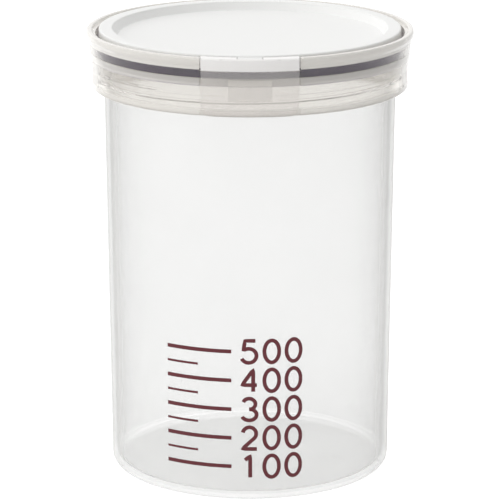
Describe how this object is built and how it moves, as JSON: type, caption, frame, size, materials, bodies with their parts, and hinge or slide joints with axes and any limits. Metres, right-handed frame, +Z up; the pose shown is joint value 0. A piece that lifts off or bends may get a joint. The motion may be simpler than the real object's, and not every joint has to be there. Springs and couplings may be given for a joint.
{
  "type": "screw-neck canister with flip-top lid",
  "caption": "Round translucent canister whose screw-on collar carries a hinged flip-up lid with a gasket and a front latch",
  "frame": {"origin": "centre of the foot, on the table", "axes": "+Z up, -Y is the front with the latch, +X to the right seen from the front"},
  "size_m": [0.125, 0.1288, 0.1724],
  "materials": {
    "frosted_jar": "frosted translucent polypropylene, moulded",
    "frosted_collar": "translucent polypropylene, moulded, light satin",
    "white_lid": "white polypropylene, satin",
    "plum_silicone": "dark plum silicone, matt",
    "clear_silicone": "natural silicone, matt"
  },
  "bodies": {
    "jar": {"jar": "frosted_jar"},
    "packing": {"collar_packing": "clear_silicone"},
    "collar": {"collar": "frosted_collar", "lid_hinge_pin": "white_lid"},
    "lid": {"lid_cover": "white_lid", "lid_liner": "white_lid", "lid_gasket": "plum_silicone", "latch_pin": "white_lid"},
    "latch": {"latch": "frosted_collar"}
  },
  "joints": [
    {"name": "collar_rise", "type": "slide", "parent": "jar", "child": "packing", "axis": [0, 0, 1], "range_m": [0, 0.0068]},
    {"name": "collar_screw", "type": "hinge", "parent": "packing", "child": "collar", "pos_m": [0, 0, 0.1609], "axis": [0, 0, 1], "range_deg": [0, 720]},
    {"name": "lid_hinge", "type": "hinge", "parent": "collar", "child": "lid", "pos_m": [0, 0.0633, 0.169], "axis": [-1, 0, 0], "range_deg": [0, 105]},
    {"name": "latch_hinge", "type": "hinge", "parent": "lid", "child": "latch", "pos_m": [0, -0.0604, 0.1705], "axis": [-1, 0, 0], "range_deg": [0, 90]}
  ],
  "couplings": [
    {"joint": "collar_rise", "follows": "collar_screw", "m_per_rad": 0.00054113}
  ]
}
